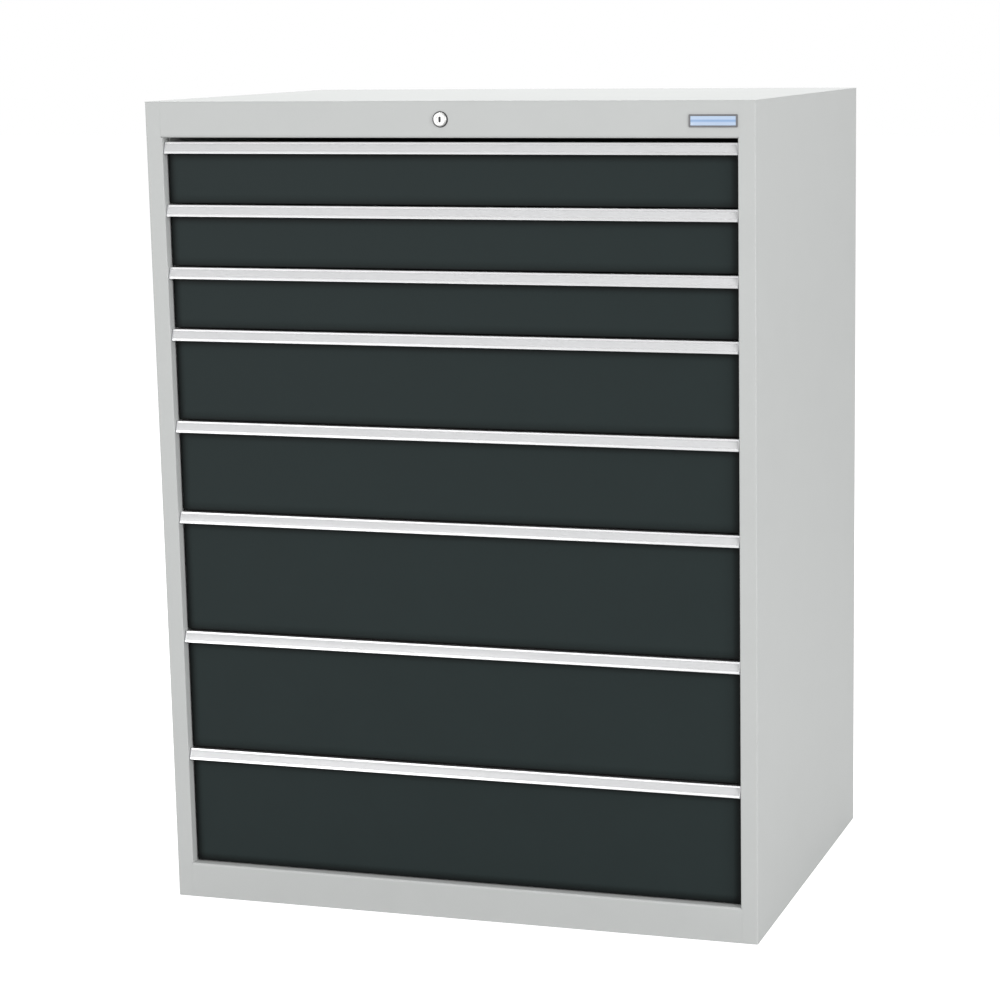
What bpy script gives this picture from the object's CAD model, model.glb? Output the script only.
import logging
from dataclasses import dataclass
from enum import Enum
from math import cos, hypot, pi, radians, sin

import bmesh
import bpy
from mathutils import Matrix, Vector


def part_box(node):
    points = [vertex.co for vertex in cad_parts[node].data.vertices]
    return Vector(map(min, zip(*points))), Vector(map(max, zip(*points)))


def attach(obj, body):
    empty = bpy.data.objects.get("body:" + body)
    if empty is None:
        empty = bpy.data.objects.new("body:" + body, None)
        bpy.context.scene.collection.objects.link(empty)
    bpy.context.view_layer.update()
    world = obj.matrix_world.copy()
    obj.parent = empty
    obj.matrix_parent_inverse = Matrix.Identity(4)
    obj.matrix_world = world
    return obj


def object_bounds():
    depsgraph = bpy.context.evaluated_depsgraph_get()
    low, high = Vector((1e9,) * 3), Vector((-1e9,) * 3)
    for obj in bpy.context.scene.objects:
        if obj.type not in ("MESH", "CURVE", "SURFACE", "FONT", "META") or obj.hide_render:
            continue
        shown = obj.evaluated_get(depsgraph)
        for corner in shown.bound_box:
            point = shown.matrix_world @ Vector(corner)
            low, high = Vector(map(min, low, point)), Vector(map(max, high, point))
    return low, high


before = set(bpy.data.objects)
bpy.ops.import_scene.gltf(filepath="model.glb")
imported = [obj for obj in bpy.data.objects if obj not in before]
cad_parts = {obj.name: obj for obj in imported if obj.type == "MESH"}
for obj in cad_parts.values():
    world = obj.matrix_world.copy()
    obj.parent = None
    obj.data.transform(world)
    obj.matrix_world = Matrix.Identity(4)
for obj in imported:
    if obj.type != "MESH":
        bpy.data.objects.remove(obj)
CAD_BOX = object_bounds()
CAD_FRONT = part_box("header_rail")[0].y

# Tall sheet-steel drawer cabinet: light grey housing, anthracite fronts, aluminium grips, telescopic slides
# and a central lock. Metres, +Z up, the fronts towards -Y, +X to the right as seen from the front.

LOG = logging.getLogger("drawer_cabinet")
MM = 0.001
DRAWERS = range(1, 9)
SIDES = (-1, 1)

Point = tuple[float, float]
Place = tuple[float, float, float]
Colour = tuple[float, float, float]
Socket = bpy.types.NodeSocket


class Slot(Enum):
    """Material slots of the record that the pieces take their finish from."""

    HOUSING = "housing_paint"
    INNER = "inner_paint"
    FRONT = "front_paint"
    TRAY = "tray_paint"
    GRIP = "grip_aluminium"
    SLIDE = "slide_steel"
    LOCK = "lock_chrome"
    BADGE = "badge_plate"
    GUIDE = "guide_plastic"
    LABEL = "label_clear"
    CAP = "cap_plastic"
    FASTENER = "fastener_zinc"


# ======== node work ========


class NodeBoard:
    """A node tree with short ways to add nodes and to wire them."""

    def __init__(self, tree: bpy.types.NodeTree) -> None:
        """Starts on a tree, which may be a material's, a group's or the world's."""
        self.tree = tree

    def feed(self, socket: Socket, value: object) -> None:
        """Wires a socket into an input, or sets the input's value.

        Args:
            socket: The input.
            value: Another node's output, a number, a vector or a colour without its alpha.
        """
        if isinstance(value, Socket):
            self.tree.links.new(value, socket)
        elif socket.type == "RGBA" and len(value) == 3:
            socket.default_value = (*value, 1.0)
        else:
            socket.default_value = value

    def supply(self, node: bpy.types.Node, inputs: dict[str, object]) -> None:
        """Feeds several inputs of a node by their names."""
        for name, value in inputs.items():
            self.feed(node.inputs[name], value)

    def add(self, kind: str, inputs: dict[str, object] | None = None, **settings: object) -> bpy.types.Node:
        """Adds a node.

        Args:
            kind: Type name of the node.
            inputs: Values or sockets by the name of the input.
            settings: Properties of the node.

        Returns:
            The new node.
        """
        node = self.tree.nodes.new(kind)
        for name, value in settings.items():
            setattr(node, name, value)
        self.supply(node, inputs or {})
        return node

    def sum(self, operation: str, first: object, second: object = 0.0, clamp: bool = False) -> Socket:
        """Adds a Math node.

        Args:
            operation: The node's operation.
            first: First value or socket.
            second: Second value or socket.
            clamp: True to keep the result between 0 and 1.

        Returns:
            The result.
        """
        node = self.add("ShaderNodeMath", operation=operation, use_clamp=clamp)
        self.feed(node.inputs[0], first)
        self.feed(node.inputs[1], second)
        return node.outputs[0]

    def blend(self, share: object, first: object, second: object) -> Socket:
        """Adds a colour Mix node.

        Args:
            share: How much of the second colour shows, from 0 to 1.
            first: Colour at share 0.
            second: Colour at share 1.

        Returns:
            The mixed colour.
        """
        node = self.add("ShaderNodeMix", data_type="RGBA")
        sockets = {s.identifier: s for s in node.inputs}
        self.feed(sockets["Factor_Float"], share)
        self.feed(sockets["A_Color"], first)
        self.feed(sockets["B_Color"], second)
        return next(s for s in node.outputs if s.identifier == "Result_Color")

    def spread(self, value: Socket, low: object, high: object) -> Socket:
        """Maps a value from 0..1 to low..high and returns it."""
        node = self.add("ShaderNodeMapRange", {"Value": value, "To Min": low, "To Max": high})
        return node.outputs["Result"]

    def noise(self, scale: object, detail: float, stretch: Place = (1.0, 1.0, 1.0)) -> Socket:
        """Adds noise that stays with the piece when it moves.

        Args:
            scale: Waves per metre.
            detail: Octaves.
            stretch: How much finer the noise is along each axis.

        Returns:
            The noise, from 0 to 1.
        """
        place = self.add("ShaderNodeTexCoord").outputs["Object"]
        mapping = self.add("ShaderNodeMapping", {"Vector": place, "Scale": stretch})
        wave = {"Vector": mapping.outputs["Vector"], "Scale": scale, "Detail": detail}
        return self.add("ShaderNodeTexNoise", wave).outputs["Fac"]


class Effect:
    """A surface effect that several finishes share, as a shader node group that is built once."""

    name = "effect"
    inputs: dict[str, float] = {}
    outputs: dict[str, str] = {}

    def wire(self, board: NodeBoard, given: dict[str, Socket]) -> dict[str, Socket]:
        """Builds the group's inside and returns what each output shows."""
        raise NotImplementedError

    def tree(self) -> bpy.types.NodeTree:
        """Builds the group's tree, or finds it if it is there already.

        Returns:
            The group's tree.
        """
        made = bpy.data.node_groups.get(self.name)
        if made is not None:
            return made
        tree = bpy.data.node_groups.new(self.name, "ShaderNodeTree")
        for name, default in self.inputs.items():
            socket = tree.interface.new_socket(name, in_out="INPUT", socket_type="NodeSocketFloat")
            socket.default_value = default
        for name, kind in self.outputs.items():
            tree.interface.new_socket(name, in_out="OUTPUT", socket_type=kind)
        board = NodeBoard(tree)
        given = board.add("NodeGroupInput").outputs
        shown = board.add("NodeGroupOutput")
        board.supply(shown, self.wire(board, {name: given[name] for name in self.inputs}))
        return tree

    def place(self, board: NodeBoard, **values: float) -> dict[str, Socket]:
        """Puts the group into a material.

        Args:
            board: The material's board.
            values: Input values, named like the inputs in lower case with underscores.

        Returns:
            The group's outputs by name.
        """
        node = board.add("ShaderNodeGroup", node_tree=self.tree())
        for name, value in values.items():
            board.feed(node.inputs[name.replace("_", " ")], value)
        return {name: node.outputs[name] for name in self.outputs}


class OrangePeel(Effect):
    """Texture of a cured powder coat: fine peel, the slow ripple of thin sheet, and a faint mottle."""

    name = "orange_peel"
    inputs = {"peel size": 0.0016, "peel depth": 0.00001, "ripple depth": 0.00004}
    outputs = {"Height": "NodeSocketFloat", "Mottle": "NodeSocketFloat", "Speck": "NodeSocketFloat"}
    ripples_per_metre = 5.5
    mottles_per_metre = 14.0
    specks_per_metre = 900.0

    def wire(self, board: NodeBoard, given: dict[str, Socket]) -> dict[str, Socket]:
        """Adds the peel to the ripple and leaves the mottle and specks as masks.

        Args:
            board: The group's board.
            given: The group's inputs by name.

        Returns:
            What each output shows, by name.
        """
        peel = board.noise(board.sum("DIVIDE", 1.0, given["peel size"]), 2.0)
        ripple = board.noise(self.ripples_per_metre, 1.0)
        height = board.sum("MULTIPLY", peel, given["peel depth"])
        slow = board.sum("MULTIPLY", ripple, given["ripple depth"])
        return {
            "Height": board.sum("ADD", height, slow),
            "Mottle": board.noise(self.mottles_per_metre, 4.0),
            "Speck": board.noise(self.specks_per_metre, 1.0),
        }


class EasedEdge(Effect):
    """Rounds the shading of sharp edges by a radius and marks where they are."""

    name = "eased_edge"
    inputs = {"radius": 0.0008, "gain": 6.0}
    outputs = {"Edge": "NodeSocketFloat", "Normal": "NodeSocketVector"}
    samples = 6

    def wire(self, board: NodeBoard, given: dict[str, Socket]) -> dict[str, Socket]:
        """Compares the rounded normal with the true one: they differ only beside an edge.

        Args:
            board: The group's board.
            given: The group's inputs by name.

        Returns:
            What each output shows, by name.
        """
        rounded = board.add("ShaderNodeBevel", {"Radius": given["radius"]}, samples=self.samples)
        flat = board.add("ShaderNodeNewGeometry")
        cosine = board.add("ShaderNodeVectorMath", operation="DOT_PRODUCT")
        board.feed(cosine.inputs[0], rounded.outputs["Normal"])
        board.feed(cosine.inputs[1], flat.outputs["True Normal"])
        turned = board.sum("SUBTRACT", 1.0, cosine.outputs["Value"])
        edge = board.sum("MULTIPLY", turned, given["gain"], clamp=True)
        return {"Edge": edge, "Normal": rounded.outputs["Normal"]}


class DrawnLines(Effect):
    """Fine lines that drawing or brushing leaves along X."""

    name = "drawn_lines"
    inputs = {"line pitch": 0.0005, "line depth": 0.000002}
    outputs = {"Height": "NodeSocketFloat", "Tone": "NodeSocketFloat"}
    stretch = (0.012, 1.0, 1.0)
    bands_per_metre = 160.0

    def wire(self, board: NodeBoard, given: dict[str, Socket]) -> dict[str, Socket]:
        """Stretches noise along X, fine for the height and broader for the tone.

        Args:
            board: The group's board.
            given: The group's inputs by name.

        Returns:
            What each output shows, by name.
        """
        lines = board.noise(board.sum("DIVIDE", 1.0, given["line pitch"]), 3.0, self.stretch)
        tone = board.noise(self.bands_per_metre, 2.0, self.stretch)
        return {"Height": board.sum("MULTIPLY", lines, given["line depth"]), "Tone": tone}


class SettledDust(Effect):
    """A trace of dust on faces that look up, thicker in patches."""

    name = "settled_dust"
    inputs = {"amount": 0.1}
    outputs = {"Dust": "NodeSocketFloat"}
    patches_per_metre = 22.0
    narrowness = 4.0
    thinnest = 0.3

    def wire(self, board: NodeBoard, given: dict[str, Socket]) -> dict[str, Socket]:
        """Multiplies how far a face looks up by a patchy noise.

        Args:
            board: The group's board.
            given: The group's inputs by name.

        Returns:
            What each output shows, by name.
        """
        normal = board.add("ShaderNodeNewGeometry").outputs["Normal"]
        up = board.add("ShaderNodeSeparateXYZ", {"Vector": normal}).outputs["Z"]
        facing = board.sum("POWER", board.sum("MAXIMUM", up, 0.0), self.narrowness)
        patch = board.spread(board.noise(self.patches_per_metre, 5.0), self.thinnest, 1.0)
        share = board.sum("MULTIPLY", facing, patch)
        return {"Dust": board.sum("MULTIPLY", share, given["amount"], clamp=True)}


class RecessShade(Effect):
    """Marks where a surface lies close behind another one, as under a grip or in a gap."""

    name = "recess_shade"
    inputs = {"reach": 0.017, "amount": 1.0}
    outputs = {"Shade": "NodeSocketFloat"}
    samples = 6

    def wire(self, board: NodeBoard, given: dict[str, Socket]) -> dict[str, Socket]:
        """Inverts how open the surface is within its reach.

        Args:
            board: The group's board.
            given: The group's inputs by name.

        Returns:
            What each output shows, by name.
        """
        around = board.add("ShaderNodeAmbientOcclusion", {"Distance": given["reach"]}, samples=self.samples)
        closed = board.sum("SUBTRACT", 1.0, around.outputs["AO"], clamp=True)
        return {"Shade": board.sum("MULTIPLY", closed, given["amount"], clamp=True)}


class MouldedGrain(Effect):
    """Fine grain with broad, slow marks: moulded plastic, paper fibre or the clouds of a metal plating."""

    name = "moulded_grain"
    inputs = {"grain size": 0.0006, "grain depth": 0.00001}
    outputs = {"Height": "NodeSocketFloat", "Flow": "NodeSocketFloat"}
    flows_per_metre = 45.0

    def wire(self, board: NodeBoard, given: dict[str, Socket]) -> dict[str, Socket]:
        """Uses fine noise for the height and broad noise for the flow.

        Args:
            board: The group's board.
            given: The group's inputs by name.

        Returns:
            What each output shows, by name.
        """
        grain = board.noise(board.sum("DIVIDE", 1.0, given["grain size"]), 3.0)
        height = board.sum("MULTIPLY", grain, given["grain depth"])
        return {"Height": height, "Flow": board.noise(self.flows_per_metre, 3.0)}


# ======== finishes ========

DUST_COLOUR = (0.52, 0.51, 0.49)


@dataclass(frozen=True)
class Finish:
    """One surface finish. A subclass says how its nodes are wired."""

    name: str
    slot: Slot
    colour: Colour
    roughness: float
    smoother: float = 0.05
    rougher: float = 0.05
    edge_radius: float = 0.4 * MM

    def paint(self, board: NodeBoard, shader: bpy.types.Node) -> None:
        """Wires the finish into the shader."""
        raise NotImplementedError

    def material(self) -> bpy.types.Material:
        """Builds the material, or finds it if it is there already.

        Returns:
            The material.
        """
        made = bpy.data.materials.get(self.name)
        if made is not None:
            return made
        material = bpy.data.materials.new(self.name)
        material.use_nodes = True
        board = NodeBoard(material.node_tree)
        material.node_tree.nodes.clear()
        shader = board.add("ShaderNodeBsdfPrincipled")
        output = board.add("ShaderNodeOutputMaterial", {"Surface": shader.outputs["BSDF"]})
        output.is_active_output = True
        self.paint(board, shader)
        return material

    def shade(self, factor: float) -> Colour:
        """Returns the finish's colour made darker or lighter by a factor."""
        return tuple(min(1.0, channel * factor) for channel in self.colour)

    def toned(self, board: NodeBoard, pattern: Socket, share: float) -> Socket:
        """Returns the colour, from darker to lighter by a share as the pattern goes from 0 to 1."""
        return board.blend(pattern, self.shade(1.0 - share), self.shade(1.0 + share))

    def varied(self, board: NodeBoard, pattern: Socket) -> Socket:
        """Returns the roughness, from smoother to rougher as the pattern goes from 0 to 1."""
        return board.spread(pattern, self.roughness - self.smoother, self.roughness + self.rougher)

    def eased(self, board: NodeBoard) -> dict[str, Socket]:
        """Adds the eased edge at the finish's own radius."""
        return EasedEdge().place(board, radius=self.edge_radius)

    def relief(self, board: NodeBoard, height: Socket, normal: Socket) -> Socket:
        """Adds a Bump node for a height in metres over the eased normal and returns the new normal."""
        inputs = {"Height": height, "Normal": normal, "Strength": 1.0, "Distance": 1.0}
        return board.add("ShaderNodeBump", inputs).outputs["Normal"]


@dataclass(frozen=True)
class PowderCoat(Finish):
    """Powder coat on sheet steel, paler at the edges and, if wanted, shaded in recesses."""

    smoother: float = 0.04
    rougher: float = 0.04
    edge_radius: float = 0.9 * MM
    peel_size: float = 1.6 * MM
    peel_depth: float = 0.012 * MM
    ripple_depth: float = 0.05 * MM
    mottle: float = 0.03
    speck_share: float = 0.25
    speck_tone: float = 0.94
    specular: float = 0.4
    edge_share: float = 0.6
    edge_lift: float = 1.12
    dust: float = 0.04
    dust_dulling: float = 0.3
    recess: float = 0.0
    recess_tone: float = 0.1

    def paint(self, board: NodeBoard, shader: bpy.types.Node) -> None:
        """Mottles the colour, lightens edges and settled dust, and varies the roughness with the mottle.

        Args:
            board: The material's board.
            shader: Its Principled node.
        """
        peel = OrangePeel().place(
            board, peel_size=self.peel_size, peel_depth=self.peel_depth, ripple_depth=self.ripple_depth
        )
        edge = self.eased(board)
        dust = SettledDust().place(board, amount=self.dust)["Dust"]
        speck = board.spread(peel["Speck"], 0.0, self.speck_share)
        worn = board.spread(edge["Edge"], 0.0, self.edge_share)
        mottled = self.toned(board, peel["Mottle"], self.mottle)
        colour = board.blend(speck, mottled, self.shade(self.speck_tone))
        colour = board.blend(worn, colour, self.shade(self.edge_lift))
        colour = board.blend(dust, colour, DUST_COLOUR)
        if self.recess:
            shade = RecessShade().place(board, amount=self.recess)["Shade"]
            colour = board.blend(shade, colour, self.shade(self.recess_tone))
        dulled = board.sum("MULTIPLY", dust, self.dust_dulling)
        board.supply(shader, {
            "Base Color": colour,
            "Roughness": board.sum("ADD", self.varied(board, peel["Mottle"]), dulled),
            "Normal": self.relief(board, peel["Height"], edge["Normal"]),
            "Specular IOR Level": self.specular,
        })


@dataclass(frozen=True)
class DrawnMetal(Finish):
    """Anodised metal with drawing lines along X."""

    line_pitch: float = 0.5 * MM
    line_depth: float = 0.002 * MM
    tone: float = 0.04
    edge_lift: float = 1.06
    edge_polish: float = 0.06

    def paint(self, board: NodeBoard, shader: bpy.types.Node) -> None:
        """Tones the metal along its lines and polishes its edges.

        Args:
            board: The material's board.
            shader: Its Principled node.
        """
        lines = DrawnLines().place(board, line_pitch=self.line_pitch, line_depth=self.line_depth)
        edge = self.eased(board)
        toned = self.toned(board, lines["Tone"], self.tone)
        polish = board.sum("MULTIPLY", edge["Edge"], self.edge_polish)
        board.supply(shader, {
            "Base Color": board.blend(edge["Edge"], toned, self.shade(self.edge_lift)),
            "Roughness": board.sum("SUBTRACT", self.varied(board, lines["Tone"]), polish),
            "Normal": self.relief(board, lines["Height"], edge["Normal"]),
            "Metallic": 1.0,
        })


@dataclass(frozen=True)
class Grained(Finish):
    """A finish with a fine grain and broad marks."""

    grain_size: float = 0.6 * MM
    grain_depth: float = 0.01 * MM

    def grain(self, board: NodeBoard) -> dict[str, Socket]:
        """Adds the grain at the finish's own size and depth."""
        return MouldedGrain().place(board, grain_size=self.grain_size, grain_depth=self.grain_depth)


@dataclass(frozen=True)
class PlatedMetal(Grained):
    """Zinc or nickel plate: a clouded, slightly tinted metal with a fine grain."""

    smoother: float = 0.06
    rougher: float = 0.08
    grain_size: float = 0.5 * MM
    grain_depth: float = 0.002 * MM
    cloud: Colour = (0.56, 0.57, 0.52)
    cloud_share: float = 0.5
    edge_lift: float = 1.1

    def paint(self, board: NodeBoard, shader: bpy.types.Node) -> None:
        """Clouds the plate with its second tint and varies the roughness with it.

        Args:
            board: The material's board.
            shader: Its Principled node.
        """
        grain = self.grain(board)
        edge = self.eased(board)
        clouded = board.blend(board.spread(grain["Flow"], 0.0, self.cloud_share), self.colour, self.cloud)
        board.supply(shader, {
            "Base Color": board.blend(edge["Edge"], clouded, self.shade(self.edge_lift)),
            "Roughness": self.varied(board, grain["Flow"]),
            "Normal": self.relief(board, grain["Height"], edge["Normal"]),
            "Metallic": 1.0,
        })


@dataclass(frozen=True)
class Moulding(Grained):
    """Moulded plastic or paper, with a grain, a flow tone and an optional clear coat."""

    edge_radius: float = 0.3 * MM
    flow: float = 0.05
    edge_share: float = 0.4
    edge_lift: float = 1.15
    coat: float = 0.0
    coat_roughness: float = 0.08
    alpha: float = 1.0

    def paint(self, board: NodeBoard, shader: bpy.types.Node) -> None:
        """Tones the material along its flow and lightens its edges.

        Args:
            board: The material's board.
            shader: Its Principled node.
        """
        grain = self.grain(board)
        edge = self.eased(board)
        toned = self.toned(board, grain["Flow"], self.flow)
        worn = board.spread(edge["Edge"], 0.0, self.edge_share)
        board.supply(shader, {
            "Base Color": board.blend(worn, toned, self.shade(self.edge_lift)),
            "Roughness": self.varied(board, grain["Flow"]),
            "Normal": self.relief(board, grain["Height"], edge["Normal"]),
            "Coat Weight": self.coat,
            "Coat Roughness": self.coat_roughness,
            "Alpha": self.alpha,
        })


@dataclass(frozen=True)
class BandedEnamel(Grained):
    """Blank enamelled plate with one soft, deeper band across its middle, under a clear coat."""

    smoother: float = 0.04
    rougher: float = 0.04
    edge_radius: float = 0.3 * MM
    grain_size: float = 0.8 * MM
    grain_depth: float = 0.004 * MM
    band: Colour = (0.22, 0.36, 0.60)
    middle: float = 0.0
    half_height: float = 3.0 * MM
    coat: float = 0.6

    def paint(self, board: NodeBoard, shader: bpy.types.Node) -> None:
        """Fades the band out above and below the plate's middle.

        Args:
            board: The material's board.
            shader: Its Principled node.
        """
        grain = self.grain(board)
        place = board.add("ShaderNodeTexCoord").outputs["Object"]
        height = board.add("ShaderNodeSeparateXYZ", {"Vector": place}).outputs["Z"]
        away = board.sum("ABSOLUTE", board.sum("SUBTRACT", height, self.middle))
        share = board.sum("SUBTRACT", 1.0, board.sum("DIVIDE", away, self.half_height), clamp=True)
        board.supply(shader, {
            "Base Color": board.blend(share, self.colour, self.band),
            "Roughness": self.varied(board, grain["Flow"]),
            "Normal": self.relief(board, grain["Height"], self.eased(board)["Normal"]),
            "Coat Weight": self.coat,
        })


@dataclass(frozen=True)
class PaleFloor(Grained):
    """Matt studio floor: white to look at, but it throws less light back up, as a grey floor would."""

    grain_size: float = 4.0 * MM
    grain_depth: float = 0.02 * MM
    patch_tone: float = 0.99
    thrown_back: float = 0.6
    lift: float = 0.42

    def paint(self, board: NodeBoard, shader: bpy.types.Node) -> None:
        """Uses the white only for what is looked at directly.

        Args:
            board: The material's board.
            shader: Its Principled node.
        """
        seen = board.add("ShaderNodeLightPath").outputs["Is Camera Ray"]
        patchy = board.blend(self.grain(board)["Flow"], self.shade(self.patch_tone), self.colour)
        board.supply(shader, {
            "Base Color": board.blend(seen, self.shade(self.thrown_back), patchy),
            "Emission Color": board.blend(seen, (0.0, 0.0, 0.0), self.shade(self.lift)),
            "Emission Strength": 1.0,
            "Specular IOR Level": 0.0,
            "Roughness": self.roughness,
        })


HOUSING_PAINT = PowderCoat(
    "light_grey_powder_coat", Slot.HOUSING, (0.500, 0.512, 0.506), 0.5, edge_radius=0.6 * MM, edge_lift=1.06
)
INNER_PAINT = PowderCoat(
    "light_grey_thin_coat", Slot.INNER, (0.52, 0.53, 0.525), 0.52, peel_size=1.2 * MM, mottle=0.04, dust=0.08
)
FRONT_PAINT = PowderCoat(
    "anthracite_powder_coat",
    Slot.FRONT,
    (0.0184, 0.0268, 0.0270),
    0.5,
    peel_size=1.1 * MM,
    peel_depth=0.02 * MM,
    ripple_depth=0.03 * MM,
    mottle=0.06,
    specular=0.12,
    edge_lift=1.3,
    dust=0.02,
    recess=3.4,
)
TRAY_PAINT = PowderCoat(
    "anthracite_tray_coat",
    Slot.TRAY,
    (0.026, 0.033, 0.033),
    0.52,
    mottle=0.06,
    specular=0.3,
    edge_lift=1.5,
    dust=0.05,
)
GRIP_ALUMINIUM = DrawnMetal("anodised_aluminium", Slot.GRIP, (0.86, 0.862, 0.87), 0.36)
SLIDE_ZINC = PlatedMetal("bright_zinc_rail", Slot.SLIDE, (0.62, 0.64, 0.66), 0.3)
LOCK_NICKEL = PlatedMetal("satin_nickel", Slot.LOCK, (0.66, 0.66, 0.65), 0.36, cloud=(0.60, 0.60, 0.59))
SCREW_ZINC = PlatedMetal("zinc_fastener", Slot.FASTENER, (0.66, 0.67, 0.66), 0.28, grain_size=0.3 * MM)
BALL_STEEL = PlatedMetal("polished_ball", Slot.FASTENER, (0.72, 0.73, 0.74), 0.12, cloud=(0.68, 0.69, 0.70))
BADGE_RIM = PlatedMetal("dark_badge_rim", Slot.BADGE, (0.20, 0.20, 0.21), 0.34, cloud=(0.17, 0.17, 0.17))
GUIDE_NYLON = Moulding("black_nylon", Slot.GUIDE, (0.024, 0.024, 0.026), 0.48, flow=0.1)
CAP_PLASTIC = Moulding("grey_end_cap", Slot.CAP, (0.56, 0.56, 0.58), 0.5)
LABEL_PAPER = Moulding(
    "grey_label_paper",
    Slot.LABEL,
    (0.60, 0.59, 0.595),
    0.8,
    grain_size=0.2 * MM,
    grain_depth=0.015 * MM,
    flow=0.02,
)
LABEL_COVER = Moulding(
    "clear_label_cover",
    Slot.LABEL,
    (0.86, 0.87, 0.88),
    0.14,
    grain_depth=0.003 * MM,
    flow=0.01,
    coat=0.4,
    alpha=0.32,
)
STUDIO_FLOOR = PaleFloor("pale_floor", Slot.HOUSING, (0.95, 0.95, 0.95), 0.75)


# ======== mesh work ========


def centre(node: str) -> Vector:
    """Returns the centre of a CAD node's box."""
    low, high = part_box(node)
    return (low + high) / 2


def rounded_rectangle(low: Point, high: Point, radius: float, steps: int = 4) -> list[Point]:
    """Works out a rectangle with rounded corners.

    Args:
        low: Its lowest corner.
        high: Its highest corner.
        radius: Corner radius.
        steps: Facets in each corner.

    Returns:
        The outline's points, counter-clockwise.
    """
    corners = (high, (low[0], high[1]), low, (high[0], low[1]))
    points = []
    for quarter, (x, y) in enumerate(corners):
        cx = x - radius if x == high[0] else x + radius
        cy = y - radius if y == high[1] else y + radius
        for step in range(steps + 1):
            angle = (quarter + step / steps) * pi / 2
            points.append((cx + radius * cos(angle), cy + radius * sin(angle)))
    return points


class Bench:
    """Builds one piece's mesh from extruded outlines, plates, turned heads, balls and swept rims."""

    # A plate's front edge: how far each ring is drawn in and stands out, as shares of ease and thickness.
    plate_edge = ((0.0, 0.0), (0.0, 0.6), (0.3, 0.88), (1.0, 1.0))

    def __init__(self) -> None:
        """Starts with an empty mesh."""
        self.mesh = bmesh.new()

    def skin(self, rings: list[list[Place]], closed: bool = False) -> None:
        """Skins neighbouring rings of points with quads, and closes the first and the last ring.

        Args:
            rings: Rings with the same number of points each.
            closed: True if the last ring meets the first again, so that there is no end to close.
        """
        rows = [[self.mesh.verts.new(place) for place in ring] for ring in rings]
        pairs = list(zip(rows, rows[1:]))
        if closed:
            pairs.append((rows[-1], rows[0]))
        else:
            self.mesh.faces.new(rows[0][::-1])
            self.mesh.faces.new(rows[-1])
        for near, far in pairs:
            for i in range(len(near)):
                j = (i + 1) % len(near)
                self.mesh.faces.new((near[i], near[j], far[j], far[i]))

    def extrude(self, outline: list[Point], low: float, high: float, break_edges: float = 0.0) -> None:
        """Extrudes a closed outline in the (y, z) plane along X.

        Args:
            outline: Corner points, in order.
            low: X of one end.
            high: X of the other end.
            break_edges: Width of the bevel on every edge, or 0 for none.
        """
        before = set(self.mesh.edges)
        self.skin([[(x, y, z) for y, z in outline] for x in (low, high)])
        if break_edges:
            sharp = [edge for edge in self.mesh.edges if edge not in before]
            shape = {"segments": 2, "profile": 0.5, "affect": "EDGES", "clamp_overlap": True}
            bmesh.ops.bevel(self.mesh, geom=sharp, offset=break_edges, **shape)

    def turn(self, profile: list[Point], at: Vector, facing: Vector, steps: int, ring: bool = False) -> None:
        """Turns a profile about an axis.

        Args:
            profile: (radius, height) points along the surface, from its base to its top.
            at: Where the axis meets the surface that the piece stands on.
            facing: Direction of the axis.
            steps: Number of facets round the axis.
            ring: True if the profile is a loop away from the axis, False to close its two ends with faces.
        """
        place = Matrix.Translation(at) @ facing.to_track_quat("Z", "Y").to_matrix().to_4x4()
        turns = [2 * pi * i / steps for i in range(steps)]
        rings = [[place @ Vector((r * cos(a), r * sin(a), h)) for a in turns] for r, h in profile]
        self.skin(rings, closed=ring)

    def plate(self, low: Point, high: Point, corner: float, back: float, thick: float, ease: float) -> None:
        """Adds an upright plate with rounded corners and an eased front edge, facing -Y.

        Args:
            low: Its lowest (x, z) corner.
            high: Its highest (x, z) corner.
            corner: Corner radius.
            back: Y of the face that it lies on.
            thick: Thickness.
            ease: How far the front edge is drawn in.
        """
        mid_x, mid_z = (low[0] + high[0]) / 2, (low[1] + high[1]) / 2
        half_x, half_z = (high[0] - low[0]) / 2, (high[1] - low[1]) / 2
        outline = [(x - mid_x, z - mid_z) for x, z in rounded_rectangle(low, high, corner)]
        rings = []
        for inset, depth in self.plate_edge:
            y = back - depth * thick
            sx, sz = 1 - inset * ease / half_x, 1 - inset * ease / half_z
            rings.append([(mid_x + x * sx, y, mid_z + z * sz) for x, z in outline])
        self.skin(rings)

    def ball(self, at: Vector, radius: float) -> None:
        """Adds a bearing ball."""
        bmesh.ops.create_icosphere(self.mesh, subdivisions=2, radius=radius, matrix=Matrix.Translation(at))

    def sweep_rim(
        self, section: list[Point], low: Vector, high: Vector, corner: float, steps: int = 5
    ) -> None:
        """Sweeps a closed section round a rectangle with rounded corners.

        Args:
            section: (inward, up) points of the section, measured from the outer wall and the rim's level.
            low: Lowest corner of the rectangle, at the rim's level.
            high: Highest corner of the rectangle.
            corner: Outer corner radius.
            steps: Facets in each corner.
        """
        middle = (low + high) / 2
        half_x, half_y = (high.x - low.x) / 2, (high.y - low.y) / 2
        rings = []
        for quarter, (sx, sy) in enumerate(((1, 1), (-1, 1), (-1, -1), (1, -1))):
            for step in range(steps + 1):
                angle = (quarter + step / steps) * pi / 2
                ring = []
                for inward, up in section:
                    radius = max(corner - inward, 0.0)
                    reach = max(inward, corner)
                    x = middle.x + sx * (half_x - reach) + radius * cos(angle)
                    y = middle.y + sy * (half_y - reach) + radius * sin(angle)
                    ring.append((x, y, low.z + up))
                rings.append(ring)
        self.skin(rings, closed=True)
        bmesh.ops.dissolve_degenerate(self.mesh, dist=0.001 * MM, edges=self.mesh.edges)

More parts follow.
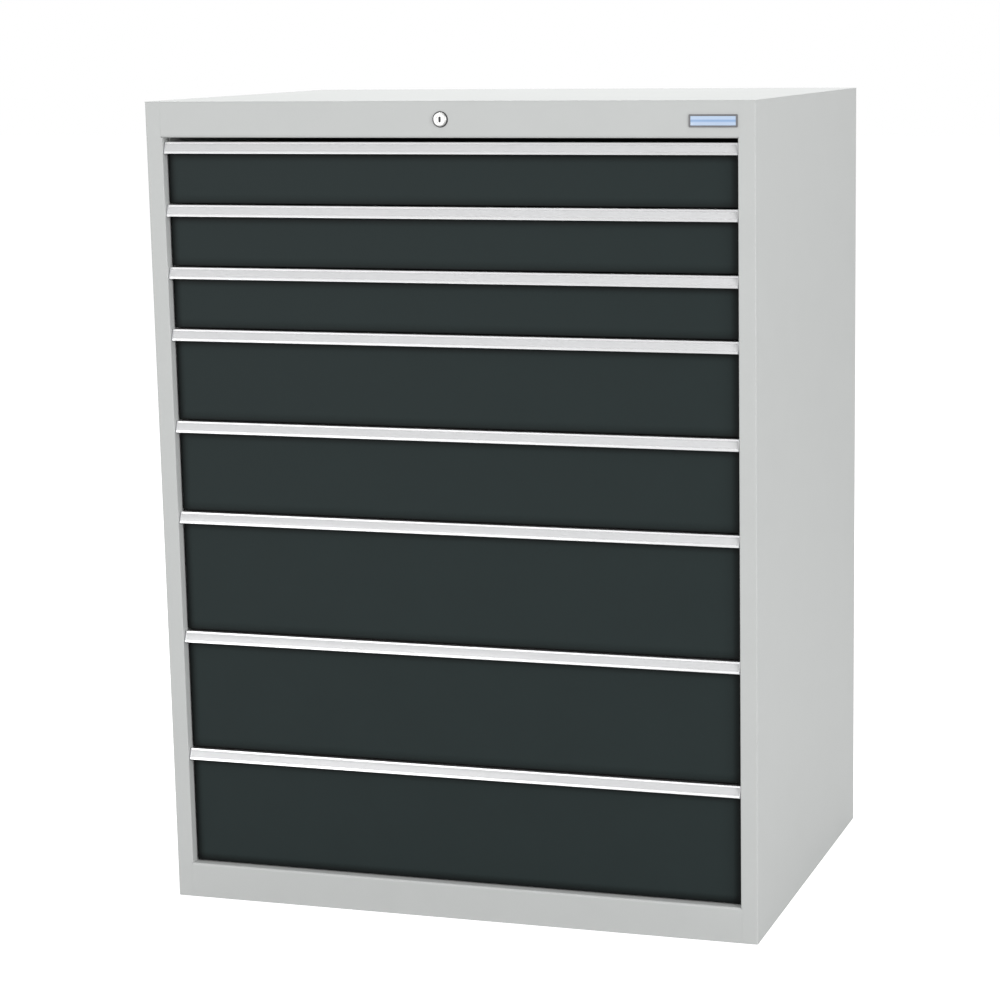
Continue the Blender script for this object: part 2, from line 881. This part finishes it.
    def finish(self, name: str, finish: Finish, body: str, smooth_below: float = 40.0) -> None:
        """Turns the mesh into a piece of the cabinet.

        Args:
            name: Name of the piece.
            finish: Its finish.
            body: The CAD body that it moves with.
            smooth_below: Edges that turn less than this many degrees are shaded smooth.
        """
        bmesh.ops.recalc_face_normals(self.mesh, faces=self.mesh.faces)
        mesh = bpy.data.meshes.new(name)
        self.mesh.to_mesh(mesh)
        self.mesh.free()
        mesh.shade_smooth()
        mesh.set_sharp_from_angle(angle=radians(smooth_below))
        mesh.materials.append(finish.material())
        piece = bpy.data.objects.new(name, mesh)
        bpy.context.scene.collection.objects.link(piece)
        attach(piece, body)
        LOG.info("%s rides on %s, %d faces, %s", name, body, len(mesh.polygons), finish.name)


def dress(nodes: list[str], finish: Finish) -> None:
    """Gives CAD nodes a finish in their material slots.

    Args:
        nodes: Names of the nodes.
        finish: Their finish.
    """
    for name in nodes:
        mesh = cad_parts[name].data
        mesh.materials.clear()
        mesh.materials.append(finish.material())
        LOG.info("%s keeps its CAD shape, %s", name, finish.name)


@dataclass(frozen=True)
class SocketScrew:
    """Button-head screw with a hexagon socket."""

    radius: float = 3.8 * MM
    rise: float = 2.0 * MM
    socket: float = 1.5 * MM
    depth: float = 1.2 * MM
    steps: int = 18

    def drive_in(self, bench: Bench, at: Vector, facing: Vector) -> None:
        """Adds one screw head that stands on a face.

        Args:
            bench: The piece that it becomes part of.
            at: Point on the face.
            facing: Direction that the head looks.
        """
        dome = [(1.0, 0.0), (1.0, 0.2), (0.93, 0.52), (0.78, 0.8), (0.6, 0.95), (0.5, 1.0)]
        profile = [(self.radius * r, self.rise * h) for r, h in dome]
        profile += [(self.socket, self.rise), (self.socket * 0.96, self.rise - self.depth)]
        bench.turn(profile, at, facing, self.steps)


@dataclass(frozen=True)
class Rivet:
    """Domed rivet head."""

    radius: float = 3.2 * MM
    rise: float = 0.9 * MM
    steps: int = 16

    def set(self, bench: Bench, at: Vector, facing: Vector) -> None:
        """Adds one rivet head that stands on a face."""
        dome = [(1.0, 0.0), (0.97, 0.3), (0.85, 0.65), (0.6, 0.9), (0.25, 1.0)]
        bench.turn([(self.radius * r, self.rise * h) for r, h in dome], at, facing, self.steps)


# ======== housing ========


@dataclass
class Housing:
    """Folded sheet housing with its screws, and the blank badge on its header."""

    rear_flange: float = 20.0 * MM
    rear_screw_rows: int = 6
    rear_screw_margin: float = 60.0 * MM
    slide_sheet: float = 1.6 * MM
    slide_screw_inset: float = 18.5 * MM
    rear_post_inset: float = 9.5 * MM
    seam_sunk: float = 0.03 * MM
    seam_depth: float = 1.3 * MM
    seam_drop: float = 1.7 * MM
    badge_rim: float = 2.6 * MM
    badge_gap: float = 0.15 * MM
    field_thick: float = 0.4 * MM
    field_corner: float = 0.6 * MM
    field_ease: float = 0.45 * MM
    badge_recess: float = 0.5 * MM
    enamel_blue: Colour = (0.46, 0.57, 0.74)
    screw: SocketScrew = SocketScrew()
    slide_screw: SocketScrew = SocketScrew(3.6 * MM, 1.1 * MM, 1.3 * MM, 0.7 * MM)

    def dress(self) -> None:
        """Paints the housing's CAD nodes."""
        dress(["side_panel_left", "side_panel_right", "back_panel", "top_cover"], HOUSING_PAINT)
        dress(["header_rail", "plinth_rail"], HOUSING_PAINT)
        dress(["top_stiffeners", "corner_posts", "floor_pan", "floor_skids"], INNER_PAINT)
        dress(["cabinet_slides_left", "cabinet_slides_right"], SLIDE_ZINC)
        dress(["badge"], BADGE_RIM)

    def rear_screws(self) -> None:
        """Makes the screws that hold the back panel to the two rear flanges."""
        low, high = CAD_BOX
        bench = Bench()
        first, last = low.z + self.rear_screw_margin, high.z - self.rear_screw_margin
        for side in SIDES:
            x = side * (high.x - self.rear_flange / 2)
            for row in range(self.rear_screw_rows):
                z = first + (last - first) * row / (self.rear_screw_rows - 1)
                self.screw.drive_in(bench, Vector((x, high.y, z)), Vector((0, 1, 0)))
        bench.finish("rear_panel_screws", SCREW_ZINC, "housing")

    def slide_screws(self) -> None:
        """Makes the screws that hold the fixed slide members to the posts."""
        low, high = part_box("cabinet_slides_right")
        bench = Bench()
        for number in DRAWERS:
            z = centre(f"drawer_{number}_slide_middle").z
            for side in SIDES:
                x = side * (high.x - self.slide_sheet)
                for y in (low.y + self.slide_screw_inset, high.y - self.rear_post_inset):
                    self.slide_screw.drive_in(bench, Vector((x, y, z)), Vector((-side, 0, 0)))
        bench.finish("slide_screws", SCREW_ZINC, "housing")

    def badge_field(self) -> None:
        """Makes the blank enamelled plate that lies in the badge's recess."""
        low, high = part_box("badge")
        inset = self.badge_rim + self.badge_gap
        bench = Bench()
        near, far = (low.x + inset, low.z + inset), (high.x - inset, high.z - inset)
        back = low.y + self.badge_recess
        bench.plate(near, far, self.field_corner, back, self.field_thick, self.field_ease)
        enamel = BandedEnamel("pale_blue_enamel", Slot.BADGE, self.enamel_blue, 0.3, middle=centre("badge").z)
        bench.finish("badge_field", enamel, "housing")

    def header_seam(self) -> None:
        """Makes the ground weld that fills the groove between the header's bend and the top cover."""
        low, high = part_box("header_rail")
        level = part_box("top_cover")[0].z
        near, far = low.y + self.seam_sunk, low.y + self.seam_depth
        toe, heel = level - self.seam_drop, level - self.seam_drop / 3
        outline = [(near, toe), (near, level), (far, level), (far, heel)]
        bench = Bench()
        bench.extrude(outline, low.x, high.x)
        bench.finish("header_seam", HOUSING_PAINT, "housing")

    def build(self) -> None:
        """Dresses the housing and adds its trim."""
        self.dress()
        self.header_seam()
        self.rear_screws()
        self.slide_screws()
        self.badge_field()


# ======== drawers ========


@dataclass(frozen=True)
class GripSection:
    """The aluminium grip seen from the side, as the CAD grip is drawn."""

    height: float = 18.1 * MM
    setback: float = 1.5 * MM
    slant: float = 6.5 * MM
    wall: float = 2.4 * MM
    groove: float = 0.8 * MM
    lower_lip: float = 4.0 * MM
    upper_lip: float = 2.9 * MM
    flange: float = 9.0 * MM

    @property
    def slope(self) -> float:
        """Length of the slanted face."""
        return hypot(self.slant, self.height)

    def on_face(self, top: float, along: float, inward: float) -> Point:
        """Point on a grip's slanted face.

        Args:
            top: Height of the grip's upper edge.
            along: Distance up the face from its lower edge.
            inward: Depth behind the face.

        Returns:
            The point's y and z.
        """
        back, up = self.slant / self.slope, self.height / self.slope
        y = CAD_FRONT + self.setback + along * back + inward * up
        return y, top - self.height + along * up - inward * back


@dataclass
class Drawer:
    """One drawer: tray, painted front, aluminium grip with its label strip and end caps, and its slides."""

    number: int
    grip: GripSection = GripSection()
    label_play: float = 0.15 * MM
    paper_inset: float = 1.0 * MM
    paper_thick: float = 0.15 * MM
    cover_inset: float = 0.5 * MM
    cover_thick: float = 0.3 * MM
    cover_bulge: float = 0.22 * MM
    cover_steps: int = 8
    cap_thick: float = 1.2 * MM
    cap_play: float = 0.05 * MM
    cap_bevel: float = 0.35 * MM
    tray_depth: float = 604.0 * MM
    tray_sheet: float = 1.2 * MM
    tray_corner: float = 3.0 * MM
    rim_width: float = 8.0 * MM
    rim_rise: float = 1.4 * MM
    rim_drop: float = 4.0 * MM
    rim_sheet: float = 1.0 * MM
    rivet_pitch: float = 170.0 * MM
    rivet_margin: float = 42.0 * MM
    front_screw_places: tuple[float, ...] = (-380.0 * MM, -130.0 * MM, 130.0 * MM, 380.0 * MM)
    inner_web: float = 1.6 * MM
    screw: SocketScrew = SocketScrew()
    rivet: Rivet = Rivet()

    @property
    def body(self) -> str:
        """Name of the CAD body that the drawer moves with."""
        return f"drawer_{self.number}"

    def node(self, part: str) -> str:
        """Name of one of the drawer's nodes or pieces."""
        return f"drawer_{self.number}_{part}"

    def dress(self) -> None:
        """Paints the drawer's CAD nodes."""
        dress([self.node("tray")], TRAY_PAINT)
        dress([self.node("front")], FRONT_PAINT)
        dress([self.node("handle")], GRIP_ALUMINIUM)
        dress([self.node("slide_inner"), self.node("slide_middle")], SLIDE_ZINC)

    def label_paper(self) -> None:
        """Makes the blank paper strip on the floor of the grip's groove."""
        low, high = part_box(self.node("handle"))
        start = self.grip.lower_lip + self.label_play
        end = self.grip.slope - self.grip.upper_lip - self.label_play
        floor, face = self.grip.groove, self.grip.groove - self.paper_thick
        corners = [(start, floor), (end, floor), (end, face), (start, face)]
        outline = [self.grip.on_face(high.z, along, inward) for along, inward in corners]
        bench = Bench()
        bench.extrude(outline, low.x + self.paper_inset, high.x - self.paper_inset)
        bench.finish(self.node("label_paper"), LABEL_PAPER, self.body)

    def label_cover(self) -> None:
        """Makes the clear strip over the paper, bowed slightly towards the reader."""
        low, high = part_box(self.node("handle"))
        start = self.grip.lower_lip + self.label_play / 2
        end = self.grip.slope - self.grip.upper_lip - self.label_play / 2
        back = self.grip.groove - self.paper_thick
        face = []
        for i in range(self.cover_steps + 1):
            share = i / self.cover_steps
            bow = self.cover_bulge * sin(pi * share)
            face.append((start + (end - start) * share, back - self.cover_thick - bow))
        rear = [(along, inward + self.cover_thick) for along, inward in reversed(face)]
        outline = [self.grip.on_face(high.z, along, inward) for along, inward in face + rear]
        bench = Bench()
        bench.extrude(outline, low.x + self.cover_inset, high.x - self.cover_inset)
        bench.finish(self.node("label_cover"), LABEL_COVER, self.body)

    def end_caps(self) -> None:
        """Makes the moulded cap at each end of the grip, cut to its section."""
        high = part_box(self.node("handle"))[1]
        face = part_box(self.node("front"))[0].y
        section = [
            self.grip.on_face(high.z, 0.0, 0.0),
            self.grip.on_face(high.z, self.grip.slope, 0.0),
            (face, high.z),
            (face, high.z - self.grip.flange),
            self.grip.on_face(high.z, self.grip.wall, self.grip.wall * 2),
            self.grip.on_face(high.z, 0.0, self.grip.wall),
        ]
        bench = Bench()
        for side in SIDES:
            inner, outer = side * (high.x + self.cap_play), side * (high.x + self.cap_thick)
            bench.extrude(section, inner, outer, break_edges=self.cap_bevel)
        bench.finish(self.node("grip_caps"), CAP_PLASTIC, self.body)

    def tray_walls(self) -> tuple[Vector, Vector]:
        """Returns the outer box of the tray's walls, without the catch behind them."""
        low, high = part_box(self.node("tray"))
        return low, Vector((high.x, low.y + self.tray_depth, high.z))

    def tray_rim(self) -> None:
        """Makes the folded rim that stiffens the tray's upper edge."""
        low, high = self.tray_walls()
        rise, sheet, width = self.rim_rise, self.rim_sheet, self.rim_width
        section = [
            (0.0, 0.0),
            (0.0, rise * 0.35),
            (rise * 0.25, rise * 0.8),
            (rise * 0.7, rise),
            (width - rise * 0.7, rise),
            (width - rise * 0.25, rise * 0.8),
            (width, rise * 0.35),
            (width, -self.rim_drop),
            (width - sheet, -self.rim_drop),
            (width - sheet, 0.0),
        ]
        bench = Bench()
        bench.sweep_rim(section, Vector((low.x, low.y, high.z)), high, self.tray_corner)
        bench.finish(self.node("tray_rim"), TRAY_PAINT, self.body)

    def slide_rivets(self) -> None:
        """Makes the rivets that hold the drawer's slide members to the tray, headed on both sides."""
        low, high = self.tray_walls()
        z = centre(self.node("slide_inner")).z
        bench = Bench()
        count = int((self.tray_depth - 2 * self.rivet_margin) / self.rivet_pitch) + 1
        for side in SIDES:
            for i in range(count):
                y = low.y + self.rivet_margin + i * self.rivet_pitch
                inside = Vector((side * (high.x - self.tray_sheet), y, z))
                self.rivet.set(bench, inside, Vector((-side, 0, 0)))
                outside = Vector((side * (high.x + self.inner_web), y, z))
                self.rivet.set(bench, outside, Vector((side, 0, 0)))
        bench.finish(self.node("slide_rivets"), SCREW_ZINC, self.body)

    def front_screws(self) -> None:
        """Makes the screws inside the tray that hold the painted front."""
        low, high = self.tray_walls()
        z = (low.z + high.z) / 2
        bench = Bench()
        for x in self.front_screw_places:
            self.screw.drive_in(bench, Vector((x, low.y + self.tray_sheet, z)), Vector((0, 1, 0)))
        bench.finish(self.node("front_screws"), SCREW_ZINC, self.body)

    def build(self) -> None:
        """Dresses the drawer and adds its trim."""
        self.dress()
        self.label_paper()
        self.label_cover()
        self.end_caps()
        self.tray_rim()
        self.slide_rivets()
        self.front_screws()


@dataclass(frozen=True)
class BallRow:
    """Where one cage of a slide runs, seen from the front on the right-hand side."""

    ball_x: float
    ball_z: float
    web_x: float
    lip_x: float


@dataclass
class SlideRun:
    """Balls and cages of one drawer's slides. They ride on the middle members."""

    number: int
    outer: BallRow = BallRow(466.3 * MM, 19.0 * MM, 471.5 * MM, 464.4 * MM)
    inner: BallRow = BallRow(462.6 * MM, 13.4 * MM, 467.25 * MM, 460.6 * MM)
    ball_radius: float = 1.9 * MM
    balls: int = 9
    cage_sheet: float = 0.5 * MM
    end_margin: float = 12.0 * MM

    @property
    def body(self) -> str:
        """Name of the CAD body of the middle members."""
        return f"drawer_{self.number}_slides"

    def runs(self) -> list[tuple[BallRow, float, float, float]]:
        """Works out where the two cages run.

        The cage between cabinet and middle member stays in the rear half, and the one between middle member
        and drawer in the front half, so both stay engaged over the whole travel.

        Returns:
            For each cage: its row, the y where it starts and ends, and the height of the slide's middle.
        """
        node = f"drawer_{self.number}_slide_middle"
        low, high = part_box(node)
        middle = centre(node)
        return [
            (self.outer, middle.y + self.end_margin, high.y - self.end_margin, middle.z),
            (self.inner, low.y + self.end_margin, middle.y - self.end_margin, middle.z),
        ]

    def cages(self) -> None:
        """Makes the folded strips that space the balls."""
        bench = Bench()
        half = self.cage_sheet / 2
        for row, start, end, middle in self.runs():
            for side in SIDES:
                folds = [
                    (row.lip_x, row.ball_z + half),
                    (row.web_x + half, row.ball_z + half),
                    (row.web_x + half, -row.ball_z - half),
                    (row.lip_x, -row.ball_z - half),
                    (row.lip_x, -row.ball_z + half),
                    (row.web_x - half, -row.ball_z + half),
                    (row.web_x - half, row.ball_z - half),
                    (row.lip_x, row.ball_z - half),
                ]
                bench.skin([[(side * x, y, middle + z) for x, z in folds] for y in (start, end)])
        bench.finish(f"drawer_{self.number}_slide_cages", SLIDE_ZINC, self.body)

    def bearing_balls(self) -> None:
        """Makes the two rows of balls of each cage."""
        bench = Bench()
        for row, start, end, middle in self.runs():
            pitch = (end - start) / self.balls
            for side in SIDES:
                for level in SIDES:
                    for i in range(self.balls):
                        y = start + (i + 0.5) * pitch
                        at = Vector((side * row.ball_x, y, middle + level * row.ball_z))
                        bench.ball(at, self.ball_radius)
        bench.finish(f"drawer_{self.number}_slide_balls", BALL_STEEL, self.body)

    def build(self) -> None:
        """Adds the cages and the balls."""
        self.cages()
        self.bearing_balls()


# ======== lock ========


@dataclass
class Lock:
    """Central lock: cylinder in the header, shaft, crank, and the bar behind the trays."""

    nut_flats: float = 22.0 * MM
    nut_thick: float = 5.0 * MM
    nut_bore: float = 9.1 * MM
    nut_chamfer: float = 0.8 * MM
    nut_steps: int = 36
    header_sheet: float = 1.5 * MM
    washer_lip: float = 1.5 * MM
    washer_thick: float = 1.0 * MM
    washer_play: float = 0.05 * MM
    washer_chamfer: float = 0.4 * MM
    washer_steps: int = 48
    shutter_width: float = 3.6 * MM
    shutter_height: float = 8.8 * MM
    shutter_thick: float = 0.3 * MM
    shutter_ease: float = 0.1 * MM

    def dress(self) -> None:
        """Gives the lock's CAD nodes their metals and plastic."""
        dress(["lock_housing", "lock_plug"], LOCK_NICKEL)
        dress(["lock_shaft", "lock_crank", "lock_bar", "lock_bearing"], SLIDE_ZINC)
        dress(["lock_guides"], GUIDE_NYLON)

    def hexagon_reach(self, angle: float, inset: float) -> float:
        """Returns how far the nut's side is from its axis in a direction."""
        return (self.nut_flats / 2 - inset) / cos(angle % (pi / 3) - pi / 6)

    def nut(self) -> None:
        """Makes the hexagon nut that clamps the cylinder behind the header."""
        axis = centre("lock_housing")
        near = CAD_FRONT + self.header_sheet
        far = near + self.nut_thick
        edge = self.nut_chamfer
        turns = [2 * pi * i / self.nut_steps for i in range(self.nut_steps)]
        rings = []
        for inset, y in ((edge, near), (0.0, near + edge), (0.0, far - edge), (edge, far)):
            reaches = [(a, self.hexagon_reach(a, inset)) for a in turns]
            rings.append([(axis.x + reach * cos(a), y, axis.z + reach * sin(a)) for a, reach in reaches])
        bore = self.nut_bore
        for y in (far, near):
            rings.append([(axis.x + bore * cos(a), y, axis.z + bore * sin(a)) for a in turns])
        bench = Bench()
        bench.skin(rings, closed=True)
        bench.finish("lock_nut", SCREW_ZINC, "housing", smooth_below=25.0)

    def washer(self) -> None:
        """Makes the black washer round the rosette, on the header."""
        low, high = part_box("lock_housing")
        rosette = (high.x - low.x) / 2
        inner, outer, thick = rosette + self.washer_play, rosette + self.washer_lip, self.washer_thick
        flat, side = outer - self.washer_chamfer, thick - self.washer_chamfer
        loop = [(inner, 0.0), (outer, 0.0), (outer, side), (flat, thick), (inner, thick)]
        axis = centre("lock_housing")
        at = Vector((axis.x, CAD_FRONT, axis.z))
        bench = Bench()
        bench.turn(loop, at, Vector((0, -1, 0)), self.washer_steps, ring=True)
        bench.finish("lock_washer", GUIDE_NYLON, "housing")

    def shutter(self) -> None:
        """Makes the black dust shutter over the keyway. It turns with the plug."""
        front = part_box("lock_plug")[0].y
        axis = centre("lock_plug")
        half_x, half_z = self.shutter_width / 2, self.shutter_height / 2
        low, high = (axis.x - half_x, axis.z - half_z), (axis.x + half_x, axis.z + half_z)
        ease = self.shutter_ease
        bench = Bench()
        bench.plate(low, high, half_x - ease, front, self.shutter_thick, ease)
        bench.finish("lock_shutter", GUIDE_NYLON, "lock")

    def build(self) -> None:
        """Dresses the lock and adds its trim."""
        self.dress()
        self.nut()
        self.washer()
        self.shutter()


# ======== studio ========


@dataclass(frozen=True)
class Softbox:
    """Square area light that looks at the cabinet."""

    name: str
    place: Place
    aim: Place
    size: float
    watts: float

    def build(self) -> None:
        """Hangs the light in its place, aimed at its point."""
        light = bpy.data.lights.new(self.name, "AREA")
        light.shape = "SQUARE"
        light.size = self.size
        light.energy = self.watts
        lamp = bpy.data.objects.new(self.name, light)
        lamp.location = self.place
        lamp.rotation_euler = (Vector(self.aim) - Vector(self.place)).to_track_quat("-Z", "Y").to_euler()
        bpy.context.scene.collection.objects.link(lamp)
        LOG.info("%s hangs at %s", self.name, self.place)


@dataclass
class Viewpoint:
    """The camera: in front of the cabinet, to its right and a little above its top."""

    place: Place = (1.5019, -4.3539, 1.4348)
    turned: float = 16.597
    tilted_down: float = 10.764
    rolled: float = -0.637
    lens: float = 97.886
    sensor: float = 36.0
    shift: Point = (-0.13796, 0.04111)

    def build(self) -> None:
        """Sets up the camera."""
        camera = bpy.data.cameras.new("camera")
        camera.lens = self.lens
        camera.sensor_width = self.sensor
        camera.shift_x, camera.shift_y = self.shift
        stand = bpy.data.objects.new("camera", camera)
        yaw = Matrix.Rotation(radians(self.turned), 4, "Z")
        pitch = Matrix.Rotation(radians(90.0 - self.tilted_down), 4, "X")
        roll = Matrix.Rotation(radians(self.rolled), 4, "Z")
        stand.matrix_world = Matrix.Translation(self.place) @ yaw @ pitch @ roll
        bpy.context.scene.collection.objects.link(stand)
        bpy.context.scene.camera = stand
        LOG.info("camera stands at %s", self.place)


@dataclass
class Studio:
    """Plain pale floor, white surroundings and soft light."""

    floor_half: float = 30.0
    floor_gap: float = 0.4 * MM
    backdrop: float = 1.0
    ambient: float = 0.66
    softboxes: tuple[Softbox, ...] = (
        Softbox("softbox_above", (0.0, 0.5, 4.6), (0.0, 0.5, 0.0), 2.8, 128.0),
        Softbox("softbox_left", (-4.4, -7.6, 2.2), (0.0, -0.3, 0.3), 3.6, 190.0),
        Softbox("softbox_right", (6.6, -4.4, 2.2), (0.3, -0.1, 0.3), 3.8, 328.0),
    )

    def floor(self) -> None:
        """Lays the floor, which belongs to the studio and not to the cabinet."""
        mesh = bpy.data.meshes.new("studio_floor")
        half, level = self.floor_half, CAD_BOX[0].z - self.floor_gap
        corners = [(-half, -half, level), (half, -half, level), (half, half, level), (-half, half, level)]
        mesh.from_pydata(corners, [], [(0, 1, 2, 3)])
        mesh.materials.append(STUDIO_FLOOR.material())
        floor = bpy.data.objects.new("studio_floor", mesh)
        bpy.context.scene.collection.objects.link(floor)

    def surroundings(self) -> None:
        """Makes the surroundings: a white backdrop that adds only part of its brightness to the light."""
        world = bpy.data.worlds.new("studio")
        world.use_nodes = True
        board = NodeBoard(world.node_tree)
        world.node_tree.nodes.clear()
        seen = board.add("ShaderNodeLightPath").outputs["Is Camera Ray"]
        strength = board.spread(seen, self.ambient, self.backdrop)
        light = board.add("ShaderNodeBackground", {"Color": (1.0, 1.0, 1.0), "Strength": strength})
        board.add("ShaderNodeOutputWorld", {"Surface": light.outputs["Background"]})
        bpy.context.scene.world = world
        bpy.context.scene.view_settings.view_transform = "Standard"

    def build(self) -> None:
        """Lays the floor and hangs the lights."""
        self.floor()
        self.surroundings()
        for softbox in self.softboxes:
            softbox.build()


def main() -> None:
    """Builds the studio and the cabinet, one sub-assembly after another."""
    logging.basicConfig(level=logging.INFO, format="%(name)s: %(message)s")
    Viewpoint().build()
    Studio().build()
    Housing().build()
    for number in DRAWERS:
        Drawer(number).build()
        SlideRun(number).build()
    Lock().build()


if __name__ == "__main__":
    main()
